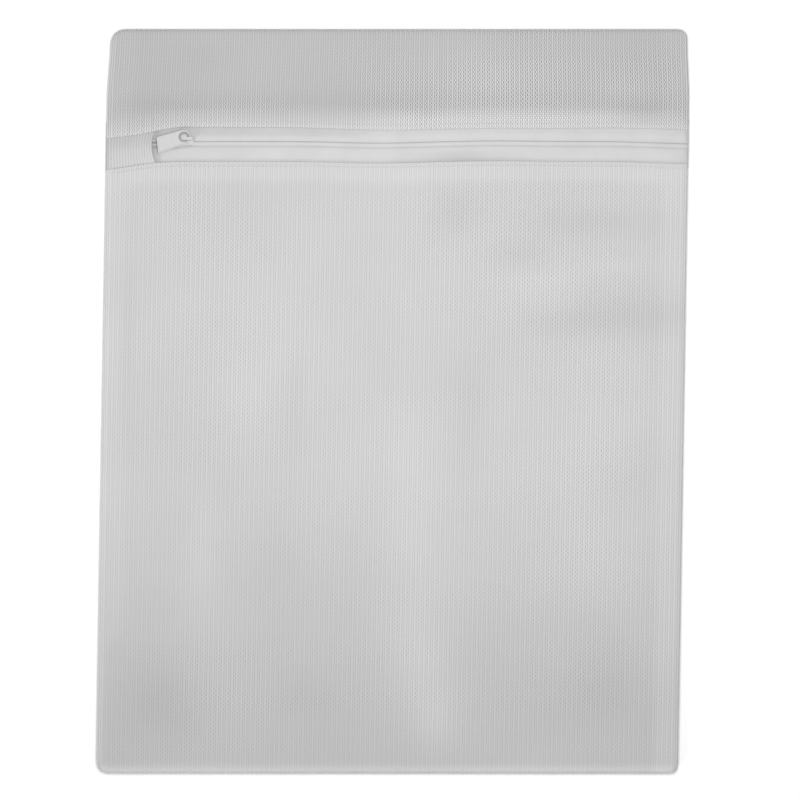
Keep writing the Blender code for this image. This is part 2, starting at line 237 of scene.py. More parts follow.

# %% [markdown]
# ## Finishes
# Washed cloth is never one even white, so each finish is shaded by a broad soft cloud, a noise
# texture in a group of its own that every finish places at its own scale. The tapes and the
# elastic are close-woven, which two crossed sine waves show well enough at their size. Thread,
# nylon and plastic need only a faint grain. How white the cloth looks also depends on how many
# layers lie under it and how the light falls on it, so each grid carries an attribute of painted
# light and shade for that, which its finish reads.

# %% Slow colour drift
drift_group, start, end = new_group(
    "slow drift",
    [("Place", "NodeSocketVector", None), ("Scale", "NodeSocketFloat", 30.0),
     ("Low", "NodeSocketFloat", 0.95), ("High", "NodeSocketFloat", 1.03)],
    [("Factor", "NodeSocketFloat")])
cloud = drift_group.nodes.new("ShaderNodeTexNoise")
drift_group.links.new(start.outputs["Place"], cloud.inputs["Vector"])
drift_group.links.new(start.outputs["Scale"], cloud.inputs["Scale"])
cloud.inputs["Detail"].default_value = 3.0
spread = drift_group.nodes.new("ShaderNodeMapRange")
drift_group.links.new(cloud.outputs["Fac"], spread.inputs["Value"])
spread.inputs["From Min"].default_value = 0.3
spread.inputs["From Max"].default_value = 0.7
drift_group.links.new(start.outputs["Low"], spread.inputs["To Min"])
drift_group.links.new(start.outputs["High"], spread.inputs["To Max"])
drift_group.links.new(spread.outputs["Result"], end.inputs["Factor"])
print("drift pattern ready")


# %% Finishes
def place_group(tree, group, **values):
    """A group's node. Each value goes to the socket of that name, with spaces for underscores."""
    node = tree.nodes.new("ShaderNodeGroup")
    node.node_tree = group
    for label, value in values.items():
        node.inputs[label.replace("_", " ")].default_value = value
    return node


def shaded_colour(tree, colour, factor):
    """The colour, multiplied by a factor that changes over the surface."""
    node = tree.nodes.new("ShaderNodeMix")
    node.data_type = "RGBA"
    node.blend_type = "MULTIPLY"
    node.inputs[0].default_value = 1.0
    node.inputs[6].default_value = (*colour, 1.0)
    tree.links.new(factor, node.inputs[7])
    return node.outputs[2]


def start_finish(name, roughness, uv_map=None):
    """A Principled material, its shader and the coordinates that its patterns read."""
    finish = bpy.data.materials.new(name)
    finish.use_nodes = True
    tree = finish.node_tree
    shader = tree.nodes["Principled BSDF"]
    shader.inputs["Roughness"].default_value = roughness
    if uv_map:
        source = tree.nodes.new("ShaderNodeUVMap")
        source.uv_map = uv_map
        return finish, tree, shader, source.outputs["UV"]
    source = tree.nodes.new("ShaderNodeTexCoord")
    return finish, tree, shader, source.outputs["Object"]


def add_bump(tree, shader, height, distance):
    bump = tree.nodes.new("ShaderNodeBump")
    bump.inputs["Strength"].default_value = 1.0
    bump.inputs["Distance"].default_value = distance
    tree.links.new(height, bump.inputs["Height"])
    tree.links.new(bump.outputs["Normal"], shader.inputs["Normal"])


def whiteness_of(tree):
    """Painted light and shade: how white the cloth looks at each point of its grid, kept with the
    grid as an attribute.
    """
    source = tree.nodes.new("ShaderNodeAttribute")
    source.attribute_name = "whiteness"
    return source.outputs["Fac"]


def mesh_finish(name, colour, hole_size, shade):
    """Knitted mesh with painted shade between its yarns, as strong as asked."""
    finish, tree, shader, place = start_finish(name, 0.85, "cloth")
    knit = place_group(tree, mesh_group, Hole_size=hole_size)
    tree.links.new(place, knit.inputs["Cloth place"])
    drift = place_group(tree, drift_group, Scale=14.0, Low=0.97, High=1.03)
    tree.links.new(place, drift.inputs["Place"])
    # Painted shade: the colour is darkened in the gaps between the yarns, by the given share.
    rounded = math_node(tree, "MULTIPLY_ADD", knit.outputs["Height"], shade, 1 - 0.7 * shade)
    factor = math_node(tree, "MULTIPLY", rounded, drift.outputs["Factor"])
    factor = math_node(tree, "MULTIPLY", factor, whiteness_of(tree))
    tree.links.new(shaded_colour(tree, colour, factor), shader.inputs["Base Color"])
    tree.links.new(knit.outputs["Yarn"], shader.inputs["Alpha"])
    add_bump(tree, shader, knit.outputs["Height"], 0.03 * MM)
    shader.inputs["Sheen Weight"].default_value = 0.2
    shader.inputs["Specular IOR Level"].default_value = 0.3
    return finish


def woven_finish(name, colour, across_pitch, along_pitch, depth, roughness=0.8):
    """Close cloth: two sets of fine ribs that cross."""
    finish, tree, shader, place = start_finish(name, roughness, "cloth")
    parts = tree.nodes.new("ShaderNodeSeparateXYZ")
    tree.links.new(place, parts.inputs[0])
    warp = math_node(tree, "SINE", math_node(
        tree, "MULTIPLY", parts.outputs["X"], 2 * math.pi / across_pitch))
    weft = math_node(tree, "SINE", math_node(
        tree, "MULTIPLY", parts.outputs["Y"], 2 * math.pi / along_pitch))
    weave = math_node(tree, "MULTIPLY", warp, weft)
    height = math_node(tree, "MULTIPLY_ADD", weave, 0.5, 0.5)
    drift = place_group(tree, drift_group, Scale=60.0, Low=0.96, High=1.02)
    tree.links.new(place, drift.inputs["Place"])
    # Painted shade: the colour is darkened a little where the threads dip between the crossing
    # ribs.
    rounded = math_node(tree, "MULTIPLY_ADD", height, 0.10, 0.93)
    factor = math_node(tree, "MULTIPLY", rounded, drift.outputs["Factor"])
    factor = math_node(tree, "MULTIPLY", factor, whiteness_of(tree))
    tree.links.new(shaded_colour(tree, colour, factor), shader.inputs["Base Color"])
    add_bump(tree, shader, height, depth)
    shader.inputs["Sheen Weight"].default_value = 0.15
    shader.inputs["Specular IOR Level"].default_value = 0.3
    return finish


def smooth_finish(name, colour, roughness, grain, depth):
    """Nylon, plastic or thread: a faint grain in the colour, the gloss and the surface."""
    finish, tree, shader, place = start_finish(name, roughness)
    drift = place_group(tree, drift_group, Scale=grain, Low=0.95, High=1.03)
    tree.links.new(place, drift.inputs["Place"])
    tree.links.new(shaded_colour(tree, colour, drift.outputs["Factor"]),
                   shader.inputs["Base Color"])
    tree.links.new(math_node(tree, "MULTIPLY", drift.outputs["Factor"], roughness),
                   shader.inputs["Roughness"])
    add_bump(tree, shader, drift.outputs["Factor"], depth)
    return finish


MESH_CLOTH = mesh_finish("knitted mesh cloth", (0.545, 0.545, 0.545), 0.055, 0.04)
# Painted shade: the strip's cloth is painted a little greyer than the front's, for the strip that
# turns away from the lamps, and the shade between its yarns is painted stronger.
STRIP_CLOTH = mesh_finish("knitted mesh, pulled open", (0.52, 0.52, 0.52), 0.10, 0.32)
ZIP_TAPE = woven_finish("woven zip tape", (0.56, 0.56, 0.56), 0.55 * MM, 0.7 * MM, 0.05 * MM)
ELASTIC = woven_finish("ribbed elastic", (0.56, 0.56, 0.56), 0.5 * MM, 0.6 * MM, 0.06 * MM, 0.85)
NYLON = smooth_finish("nylon coil", (0.52, 0.52, 0.53), 0.38, 900.0, 0.02 * MM)
THREAD = smooth_finish("polyester thread", (0.57, 0.57, 0.57), 0.7, 2500.0, 0.05 * MM)
PLASTIC = smooth_finish("moulded slider plastic", (0.50, 0.50, 0.50), 0.55, 500.0, 0.03 * MM)
FINISHES = (MESH_CLOTH, STRIP_CLOTH, ZIP_TAPE, ELASTIC, NYLON, THREAD, PLASTIC)
print("finishes:", [finish.name for finish in FINISHES])

# %% [markdown]
# ## How the bag lies
# A limp bag is never quite square. The top leans a little to the right of the bottom, the zip
# droops where it runs into each side seam, and the cloth has soft hollows where it was folded
# for packing. Those habits are kept in small functions that every cloth piece shares, so the
# layers bend together.

# %% Shared shape of the cloth
def ease(value):
    """A smooth ramp from 0 to 1."""
    value = max(0.0, min(1.0, value))
    return value * value * (3 - 2 * value)


def hump(value, centre, reach):
    """A soft bell, 1 at the centre and nearly 0 at the reach."""
    return math.exp(-2.5 * ((value - centre) / reach) ** 2)


def zip_droop(x):
    """How far the zip and its hems wander, and hang down near the side seams."""
    left = 2.6 * MM * max(0.0, (-x - 0.108) / 0.040) ** 1.6
    right = 1.0 * MM * max(0.0, (x - 0.112) / 0.036) ** 2
    wander = 0.30 * hump(x, 0.052, 0.035) - 0.85 * hump(x, -0.009, 0.042)
    wander -= 0.38 * hump(x, 0.133, 0.03)
    return wander * MM - left - right


def lower_edge(x):
    """The front panel's folded edge."""
    return LOWER_HEM_Y - 0.4 * MM + zip_droop(x) - 1.5 * MM * ease((-x - 0.120) / 0.03)


def upper_edge(x):
    """The top strip's folded edge."""
    wander = -0.45 * MM * math.sin((x + 0.03) * 24.0)
    over_keeper = 2.6 * MM * ease((-x - 0.110) / 0.028)
    return UPPER_HEM_Y + zip_droop(x) + wander - over_keeper + 0.6 * MM


# Hollows and swells: the middle of each, its reach across and along the bag, and how far the
# slack cloth rises there, in millimetres.
SWELLS = (
    (0.030, 0.088, 0.030, 0.022, -0.60), (0.066, 0.098, 0.022, 0.018, 0.45),
    (0.110, 0.046, 0.045, 0.012, -0.70), (0.105, 0.066, 0.040, 0.012, 0.50),
    (0.012, -0.110, 0.022, 0.080, 0.55), (0.120, -0.130, 0.022, 0.060, -0.60),
    (-0.135, -0.090, 0.016, 0.090, -0.60), (-0.070, -0.140, 0.050, 0.050, -0.40),
    (-0.060, 0.030, 0.050, 0.060, 0.35), (0.070, -0.060, 0.030, 0.050, 0.30))


def cloth_swell(x, y):
    """How far the slack front rises or sinks, and nothing near the bag's edges."""
    swell = 0.0
    for centre_x, centre_y, reach_x, reach_y, height in SWELLS:
        swell += height * MM * hump(x, centre_x, reach_x) * hump(y, centre_y, reach_y)
    inside = ease((HALF_WIDTH - abs(x) - 0.006) / 0.02)
    inside *= ease((HALF_LENGTH - abs(y) - 0.006) / 0.02)
    return swell * inside


def curl_rise(distance):
    """0 at the bag's edge, rising along a quarter circle to 1 at the curl's radius."""
    inward = min(distance, CURL) / CURL
    return math.sqrt(max(0.0, 1.0 - (1.0 - inward) ** 2))


# Radius of each corner, by its side and its end
CORNERS = {(-1, 1): 7.6 * MM, (1, 1): 5.0 * MM, (-1, -1): 7.2 * MM, (1, -1): 4.4 * MM}
TOP_DRAW_IN = 0.009          # share of its width that the bag loses towards the top fold


def plan_point(x, y):
    """Rounds the bag's corners, draws the top in a little and leans the whole outline."""
    radius = CORNERS[(1 if x > 0 else -1, 1 if y > 0 else -1)]
    past_x = (abs(x) - (HALF_WIDTH - radius)) / radius
    past_y = (abs(y) - (HALF_LENGTH - radius)) / radius
    if past_x > 0 and past_y > 0:
        round_x = past_x * math.sqrt(1 - past_y ** 2 / 2)
        round_y = past_y * math.sqrt(1 - past_x ** 2 / 2)
        x = math.copysign(HALF_WIDTH - radius + radius * round_x, x)
        y = math.copysign(HALF_LENGTH - radius + radius * round_y, y)
    x *= 1 - TOP_DRAW_IN * ease((y - 0.154) / 0.032)
    return x + SKEW * y, y


print("droop at the left seam, mm:", round(zip_droop(-HALF_WIDTH) / MM, 2))

# %% [markdown]
# ## How white each layer looks
# Two layers of mesh look whiter than one, and cloth that lies close to the layer below looks
# whiter than cloth that stands off it. Such small gaps hardly show through a shader's holes, so
# the tones are painted in: bands that follow the seams and hems, and soft patches placed one by
# one.
# They belong to the cloth, so they stay the same when the light changes.

# %% Tones of the cloth
ALLOWANCE = 11.0 * MM        # width of the cloth edges inside the side seams
ALLOWANCE_Z = 1.0 * MM
SLIVER_SHARE = 0.72          # of the left allowance turns on edge near the bottom


def allowance_width(side, y):
    if side > 0:
        return ALLOWANCE
    return ALLOWANCE * (1 - SLIVER_SHARE * ease((-0.118 - y) / 0.010))


# Painted light and shade of the slack cloth's hollows, swells and creases: the middle of each, its
# reach across and along the bag, in millimetres, and how much whiter or greyer it is painted
# there.
FRONT_PAINTED_SHADING = (
    (30, 97, 23, 19, -0.07), (62, 76, 30, 12, -0.055), (101, 92, 58, 12, -0.06),
    (78, 62, 28, 5, 0.02), (112, 69, 34, 6, 0.045), (84, 39, 34, 14, -0.05),
    (122, 44, 52, 18, -0.075), (40, -8, 17, 62, -0.04), (8, -20, 15, 70, 0.02),
    (-73, 1, 18, 30, 0.035), (-50, 2, 7, 40, -0.03), (-138, 40, 5, 90, -0.05),
    (-98, -82, 15, 56, 0.045), (-56, -84, 32, 52, -0.05), (12, -76, 32, 48, 0.03),
    (16, -125, 26, 50, 0.08), (24, -165, 20, 30, 0.09), (104, -150, 52, 30, -0.05),
    (-118, -152, 34, 32, -0.07), (108, -82, 30, 34, 0.03), (-40, -150, 40, 20, -0.02))
STRIP_PAINTED_SHADING = (
    (44, 168, 42, 26, 0.07), (118, 160, 28, 10, 0.05), (-116, 152, 44, 4.5, -0.06),
    (-40, 153, 70, 4, -0.04), (126, 150.5, 24, 4.5, -0.08), (-100, 176, 24, 12, -0.03),
    (23, 168, 1.6, 30, -0.04), (19.5, 168, 2.6, 30, 0.04))


def painted_soft_shading(x, y, tones):
    """All the painted light and shade together at one point, as a factor near 1."""
    total = 1.0
    for middle_x, middle_y, reach_x, reach_y, amount in tones:
        total += amount * hump(x / MM, middle_x, reach_x) * hump(y / MM, middle_y, reach_y)
    return total


def side_band(x, y):
    """1 over the cloth edges inside a side seam and 0 elsewhere."""
    into_side = HALF_WIDTH - abs(x)
    return 1 - ease((into_side - allowance_width(math.copysign(1, x), y) - 1.2 * MM) / (1.4 * MM))


def rim_light(x, y):
    """The rim at the sides and the bottom is painted paler than the middle."""
    side = 1 - ease((HALF_WIDTH - abs(x)) / (3.4 * MM))
    bottom = 1 - ease((HALF_LENGTH + y) / (4.5 * MM))
    return 1 + 0.20 * side + 0.38 * bottom * (1 - side)


def front_whiteness(x, y, hem_edge):
    """Painted light and shade: more layers are painted whiter, at the hem and the side seams, and
    the bottom is painted a bit greyer.
    """
    hem = 1 - ease((hem_edge - y - HEM_DEPTH + 2.4 * MM) / (3.0 * MM))
    # Painted shade: the cloth is painted darker towards the bottom.
    painted_bottom_shade = 1 - 0.10 * ease((-0.035 - y) / 0.15)
    right_band = 0.03 * ease((-0.06 - y) / 0.05) if x > 0 else 0.0
    bands = 0.05 * hem + (0.04 + right_band) * side_band(x, y) * (1 - hem)
    return (1 + bands) * painted_bottom_shade * painted_soft_shading(x, y, FRONT_PAINTED_SHADING) * rim_light(x, y)


def strip_whiteness(x, y, hem_edge):
    """Painted light and shade: the upper hem is painted whitest at its fold, and the middle of its
    length, which lies flattest, is painted white further in.
    """
    into_hem = max(0.0, (y - hem_edge) / HEM_DEPTH)
    flat = ease((x + 0.04) / 0.05) * (1 - ease((x - 0.10) / 0.03))
    thin = max(0.0, 1 - into_hem)
    hem = thin ** 1.5 * (1 - flat) + (1 - ease((into_hem - 0.35) / 0.65)) * flat
    side = 0.04 * side_band(x, y) * (1 - hem)
    return (1 + 0.19 * hem + side) * painted_soft_shading(x, y, STRIP_PAINTED_SHADING) * rim_light(x, y)


corner_tone = front_whiteness(-HALF_WIDTH + 20 * MM, -HALF_LENGTH + 20 * MM, LOWER_HEM_Y)
print("whiteness near the bottom left corner:", round(corner_tone, 2))


# %% Grid sheets
CURL_STEPS = (0.0, 0.03, 0.12, 0.27, 0.47, 0.72, 1.0)


def spaced(low, high, step):
    """Even stations from low to high, both ends in."""
    count = max(1, round(abs(high - low) / step))
    return [low + (high - low) * index / count for index in range(count + 1)]


def stations(low, high, step, curl_low=False, curl_high=False):
    """Even stations that crowd together at an end where the cloth curls over."""
    start = [low + CURL * part for part in CURL_STEPS] if curl_low else [low]
    stop = [high - CURL * part for part in reversed(CURL_STEPS)] if curl_high else [high]
    return start[:-1] + spaced(start[-1], stop[0], step) + stop[1:]


def across_bag(left=-1.0, right=1.0, step=2.5 * MM):
    """Stations across the bag. A side is -1 or 1 at a seam and 0 at the middle."""
    return stations(left * HALF_WIDTH, right * HALF_WIDTH, step, left == -1.0, right == 1.0)


def finish_piece(name, bm, finish):
    mesh = bpy.data.meshes.new(name)
    bm.to_mesh(mesh)
    bm.free()
    mesh.materials.append(finish)
    mesh.shade_smooth()
    piece = bpy.data.objects.new(name, mesh)
    bpy.context.scene.collection.objects.link(piece)
    return piece


def grid_sheet(name, columns, rows, place, finish, thickness=0.0):
    """A sheet on a grid. place(column, row) gives each point, its spot on the flat cloth and
    the painted light and shade that make it look whiter or greyer there."""
    bm = bmesh.new()
    across, along = len(columns) - 1, len(rows) - 1
    bmesh.ops.create_grid(bm, x_segments=across, y_segments=along, size=1.0)
    cloth_map = bm.loops.layers.uv.new("cloth")
    whiteness = bm.verts.layers.float.new("whiteness")
    flat = {}
    for vert in bm.verts:
        column = columns[round((vert.co.x + 1) / 2 * across)]
        row = rows[round((vert.co.y + 1) / 2 * along)]
        vert.co, flat[vert], vert[whiteness] = place(column, row)
    for face in bm.faces:
        for loop in face.loops:
            loop[cloth_map].uv = flat[loop.vert]
    sheet = finish_piece(name, bm, finish)
    if thickness:
        solidify = sheet.modifiers.new("thickness", "SOLIDIFY")
        solidify.thickness = thickness
        solidify.offset = 0.0
    return sheet


print("columns across the bag:", len(across_bag()))

# %% [markdown]
# ## The cloth: back, front and top strip
# The real bag is one cloth. Here it is cut along its two folds, because the strip above the
# zip has to lift when the bag opens. Each part is a grid that is bent over the folds in code,
# which keeps the rows of the knit straight, where a simulation would let them wander. At the
# zip each edge turns under to make a hem of two layers, which is why the hems look whiter.

# %% Back cloth
BACK_OFFSET = 0.5            # the back's wales lie this share of a pitch beside the front's,
STRIP_OFFSET = 0.18          # and this share beside the strip's,
LEAN_FROM = 0.146            # leaning over between the two behind the zip


def back_place(x, y):
    rise = curl_rise(HALF_WIDTH - abs(x)) * curl_rise(HALF_LENGTH - abs(y))
    plan_x, plan_y = plan_point(x, y)
    z = SEAM_Z + (BACK_Z - SEAM_Z) * rise
    lean = (STRIP_OFFSET - BACK_OFFSET) * ease((y - LEAN_FROM) / (14 * MM))
    shift = WALE_PITCH * (BACK_OFFSET + lean)
    return (plan_x, plan_y, z), (x + shift, y + ZIGZAG_PERIOD / 4), rim_light(x, y)


back_rows = stations(-HALF_LENGTH, HALF_LENGTH, 3 * MM, curl_low=True, curl_high=True)
back_cloth = grid_sheet("back_cloth", across_bag(), back_rows, back_place, MESH_CLOTH)
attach(back_cloth, "root")
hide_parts("back_panel")
print("back cloth faces:", len(back_cloth.data.polygons))

# %% Front cloth with its hem
# A row is a distance up the cloth. Past the hem's edge the cloth turns through a half circle
# and runs back underneath.
HEM_TURN = 0.45 * MM         # radius of the half circle
HEM_ROWS = [("turn", angle) for angle in (30, 60, 90, 120, 150)]
HEM_ROWS += [("under", part) for part in (0.0, 0.33, 0.66, 1.0)]


def hem_fold(edge_y, direction, row):
    """The place beyond a hem's edge: the y, the drop below the panel and the cloth used."""
    kind, value = row
    if kind == "turn":
        angle = math.radians(value)
        used = HEM_TURN * angle
        return (edge_y + direction * HEM_TURN * math.sin(angle),
                HEM_TURN * (1 - math.cos(angle)), used)
    used = HEM_TURN * math.pi + HEM_DEPTH * value
    return edge_y - direction * HEM_DEPTH * value, 2 * HEM_TURN, used


def front_place(x, row):
    edge_y = lower_edge(x)
    drop = 0.0
    if isinstance(row, tuple):
        y, drop, used = hem_fold(edge_y, 1, row)
        cloth_y = edge_y + used
    else:
        stretch = ease((row + 0.02) / (LOWER_HEM_Y + 0.02))
        y = row + (edge_y - LOWER_HEM_Y) * stretch
        cloth_y = y
    rise = curl_rise(HALF_WIDTH - abs(x)) * curl_rise(y + HALF_LENGTH)
    plan_x, plan_y = plan_point(x, y)
    swell = cloth_swell(x, y) * ease((edge_y - y - 0.012) / 0.02)
    z = SEAM_Z + (FRONT_Z - drop + swell - SEAM_Z) * rise
    return (plan_x, plan_y, z), (x, cloth_y), front_whiteness(x, y, edge_y)


front_rows = stations(-HALF_LENGTH, LOWER_HEM_Y, 2.5 * MM, curl_low=True) + HEM_ROWS
front_cloth = grid_sheet("front_cloth", across_bag(), front_rows, front_place, MESH_CLOTH)
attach(front_cloth, "root")
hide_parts("front_panel", "lower_hem")
print("front cloth faces:", len(front_cloth.data.polygons))

# %% [markdown]
# ## The strip above the zip
# It is the flap of the bag's mouth. When the zip is undone its free edge lifts in the middle
# and stays down at the two side seams. The strip is made as a left and a right half, each from
# a side seam to the middle.

# %% Top strip halves
STRIP_FIXED = 4.0 * MM       # this far below the top fold the hem's wander begins to show


def crease(x):
    """A short upright packing crease in the strip."""
    return -0.35 * MM * hump(x, 0.0225, 0.0016) + 0.2 * MM * hump(x, 0.0195, 0.003)


def strip_place(x, row):
    edge_y = upper_edge(x)
    drop = 0.0
    if isinstance(row, tuple):
        y, drop, used = hem_fold(edge_y, -1, row)
        cloth_y = edge_y - used
    else:
        fixed_y = HALF_LENGTH - STRIP_FIXED
        stretch = ease((fixed_y - row) / (fixed_y - UPPER_HEM_Y))
        y = row + (edge_y - UPPER_HEM_Y) * stretch
        cloth_y = y
    above_hem = y - edge_y
    sag = 1.3 * MM * ease((above_hem - 0.009) / 0.012)
    rise = curl_rise(HALF_WIDTH - abs(x)) * curl_rise(HALF_LENGTH - y)
    plan_x, plan_y = plan_point(x, y)
    fold = crease(x) * ease((above_hem - 0.004) / 0.01)
    z = SEAM_Z + (FRONT_Z - drop - sag + fold - SEAM_Z) * rise
    return (plan_x, plan_y, z), (x, cloth_y), strip_whiteness(x, y, edge_y)


def lift_with_flap(piece):
    """Bakes the piece's placement into its mesh."""
    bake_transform(piece)


strip_rows = list(reversed(HEM_ROWS))
strip_rows += stations(UPPER_HEM_Y, HALF_LENGTH, 2.5 * MM, curl_high=True)
for label, side in (("left", -1), ("right", 1)):
    columns = across_bag(-1.0, 0.0) if side < 0 else across_bag(0.0, 1.0)
    half = grid_sheet(f"strip_cloth_{label}", columns, strip_rows, strip_place, STRIP_CLOTH)
    lift_with_flap(half)
    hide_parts("top_strip", "upper_hem")
    print(half.name, "faces:", len(half.data.polygons))

# %% [markdown]
# ## Side seams
# The sides are sewn with the bag inside out, so the raw edges end up inside as a double
# strip of cloth. Through the mesh they show as a paler band down each side. On the left the
# band twists on edge near the bottom, as seams do, and shows only as a narrow one there. Each
# layer is a plain strip of grid, because hardly more than its outline can be seen.

# %% Seam allowances
ALLOWANCE_INSET = 1.6 * MM   # from the seam's edge to the start of the allowance
LAYER_GAP = 0.45 * MM


def allowance_place(side, layer):
    def place(part, y):
        width = allowance_width(side, y)
        x = side * (HALF_WIDTH - ALLOWANCE_INSET - width * part)
        plan_x, plan_y = plan_point(x, y)
        z = ALLOWANCE_Z + LAYER_GAP * layer
        flat = (side * (HALF_WIDTH + width * part), y + 0.6 * MM * layer)
        return (plan_x, plan_y, z), flat, 1.0
    return place


allowance_rows = spaced(-HALF_LENGTH + 4 * MM, HALF_LENGTH - 4 * MM, 4 * MM)
for label, side in (("left", -1), ("right", 1)):
    for layer, layer_name in ((0, "inner"), (1, "outer")):
        allowance = grid_sheet(
            f"allowance_{layer_name}_{label}", spaced(0.0, 1.0, 0.2), allowance_rows,
            allowance_place(side, layer), MESH_CLOTH)
        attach(allowance, "root")
        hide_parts(f"seam_allowance_{label}")
print("allowance layers: 4")

# %% [markdown]
# ## Stitches
# Thread shows as rows of short raised grains. One grain is a small stretched ball with few
# faces, placed over and over along its seam, which is cheap and catches the light as thread
# does. The same helper serves the seams, the hems, the chain and the keeper.

# %% Grain of thread
STITCHES_A_BATCH = 16


def add_grain(bm, centre, direction, length, width, height):
    """One stitch: a ball stretched along its direction and pressed flat."""
    along = Vector(direction).normalized()
    turn = Matrix.Rotation(math.atan2(along.y, along.x), 4, "Z")
    stretch = Matrix.Diagonal((length / 2, width / 2, height / 2, 1.0))
    bmesh.ops.create_uvsphere(bm, u_segments=8, v_segments=5, radius=1.0,
                              matrix=Matrix.Translation(centre) @ turn @ stretch)


def stitch_line(name, points, width, height, finish):
    """A grain for each pair of end points, sewn in short batches to keep each one quick."""
    bm = bmesh.new()
    for begin in range(0, len(points), STITCHES_A_BATCH):
        batch = bmesh.new()
        for first, second in points[begin:begin + STITCHES_A_BATCH]:
            first, second = Vector(first), Vector(second)
            span = second - first
            add_grain(batch, (first + second) / 2, span, span.length, width, height)
        sewn = bpy.data.meshes.new("batch")
        batch.to_mesh(sewn)
        batch.free()
        bm.from_mesh(sewn)
        bpy.data.meshes.remove(sewn)
    return finish_piece(name, bm, finish)


def run_of_stitches(xs, y_of_x, z, gap):
    """Pairs of end points for stitches that follow a line across the bag."""
    pairs = []
    for first, second in zip(xs, xs[1:]):
        start, stop = first + gap / 2, second - gap / 2
        pairs.append(((start + SKEW * y_of_x(start), y_of_x(start), z),
                      (stop + SKEW * y_of_x(stop), y_of_x(stop), z)))
    return pairs


STITCH = 2.6 * MM
STITCH_GAP = 0.35 * MM
THREAD_WIDTH = 0.32 * MM
THREAD_HEIGHT = 0.26 * MM
HEM_STITCH_INSET = 2.0 * MM
HEM_STITCH_Z = front_high.z + 0.02 * MM
print("grain of thread ready")

# %% Hem stitches
reach = HALF_WIDTH - 2.2 * MM
lower_line = run_of_stitches(
    spaced(-reach, reach, STITCH), lambda x: lower_edge(x) - HEM_STITCH_INSET,
    HEM_STITCH_Z, STITCH_GAP)
zip_stitch_lower = stitch_line(
    "hem_stitch_lower", lower_line, THREAD_WIDTH, THREAD_HEIGHT, THREAD)
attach(zip_stitch_lower, "root")
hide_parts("zip_stitch_lower")
for label, side in (("left", -1), ("right", 1)):
    xs = spaced(-reach, 0.0, STITCH) if side < 0 else spaced(0.0, reach, STITCH)
    line = run_of_stitches(
        xs, lambda x: upper_edge(x) + HEM_STITCH_INSET, HEM_STITCH_Z, STITCH_GAP)
    row = stitch_line(
        f"hem_stitch_upper_{label}", line, THREAD_WIDTH, THREAD_HEIGHT, THREAD)
    lift_with_flap(row)
    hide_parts("zip_stitch_upper")
print("hem stitches:", len(lower_line))

# %% Seam stitches and overlocked rims
SEAM_INSET = 3.2 * MM
SEAM_STITCH_Z = ALLOWANCE_Z + 0.62 * MM
RIM_WIDTH = 2.6 * MM         # how far the overlocking reaches in from the cut edge
RIM_Z = ALLOWANCE_Z + 0.7 * MM
for label, side in (("left", -1), ("right", 1)):
    seam_x = side * (HALF_WIDTH - SEAM_INSET)
    ys = spaced(-HALF_LENGTH + 5 * MM, HALF_LENGTH - 5 * MM, STITCH)
    pairs = [((seam_x + SKEW * a, a + 0.2 * MM, SEAM_STITCH_Z),
              (seam_x + SKEW * b, b - 0.2 * MM, SEAM_STITCH_Z)) for a, b in zip(ys, ys[1:])]
    seam = stitch_line(f"seam_thread_{label}", pairs, THREAD_WIDTH, THREAD_HEIGHT, THREAD)
    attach(seam, "root")
    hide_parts(f"seam_stitch_{label}")
    rim_pairs = []
    for a, b in zip(ys, ys[1:]):
        width = allowance_width(side, (a + b) / 2)
        rim_x = side * (HALF_WIDTH - ALLOWANCE_INSET - width) + SKEW * a
        inner = rim_x + side * RIM_WIDTH
        rim_pairs.append(((rim_x, a, RIM_Z), (inner, a + 1.1 * MM, RIM_Z)))
        rim_pairs.append(((inner, a + 1.3 * MM, RIM_Z), (rim_x, b, RIM_Z)))
    rim = stitch_line(
        f"overlock_thread_{label}", rim_pairs, 0.3 * MM, THREAD_HEIGHT, THREAD)
    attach(rim, "root")
    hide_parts(f"overlock_{label}")
    print(seam.name, len(pairs), rim.name, len(rim_pairs))

# %% [markdown]
# ## Zip tapes
# Two woven tapes meet along the middle. The coils are sewn to their underside, so from
# above the chain shows as two low ridges with a fine dark line between them. It lies in a
# shallow groove, because each tape bulges up beyond its coil. Each tape is a thick grid whose
# cross section has those shapes. The two edges part at the slider's post, and come almost
# together again under the keeper.

# %% Tape shape
TAPE_WIDTH = tape_high.y - tape_low.y
TAPE_Z = (tape_low.z + tape_high.z) / 2
TAPE_CLOTH = 0.4 * MM
TAPE_LIFT = 0.05             # keeps a tape clear of its coil, in millimetres

# Each tape's section: the distance from the zip's line and the height, in millimetres
UPPER_SECTION = ((0.16, -0.50), (0.22, -0.05), (0.50, 0.20), (0.95, 0.27), (1.5, 0.30),
                 (2.2, 0.52), (3.0, 0.72), (3.8, 0.72), (5.0, 0.50), (7.0, 0.22), (9.0, 0.05),
                 (12.5, -0.1), (12.55, -0.1))
LOWER_SECTION = ((0.16, -0.50), (0.22, -0.05), (0.50, 0.25), (0.90, 0.34), (1.3, 0.20),
                 (1.7, -0.12), (2.1, -0.14), (2.6, 0.28), (3.2, 0.62), (4.0, 0.72), (6.0, 0.60),
                 (8.0, 0.50), (10.0, 0.30), (12.5, 0.0), (12.55, 0.0))
FREE_EDGE = 12.6             # a little past the section's end, where the chain's parting dies out
POST_X = body_low.x + 2.0 * MM
KEEPER_EDGE = keeper_high.x - SKEW * ZIP_Y
KEEPER_PRESS = 0.6 * MM      # the elastic keeper presses the chain down this far
END_SLIVER = 0.05 * MM       # a narrow last column keeps a cut end from shading as if rounded


def chain_spread(x):
    """How far each side of the chain stands off the zip's line at x."""
    to_post = POST_X - x
    parted = 0.75 * MM * ease((to_post + 6.0 * MM) / (5.0 * MM))
    return parted - 0.72 * MM * ease((to_post - 2.0 * MM) / (5.0 * MM))


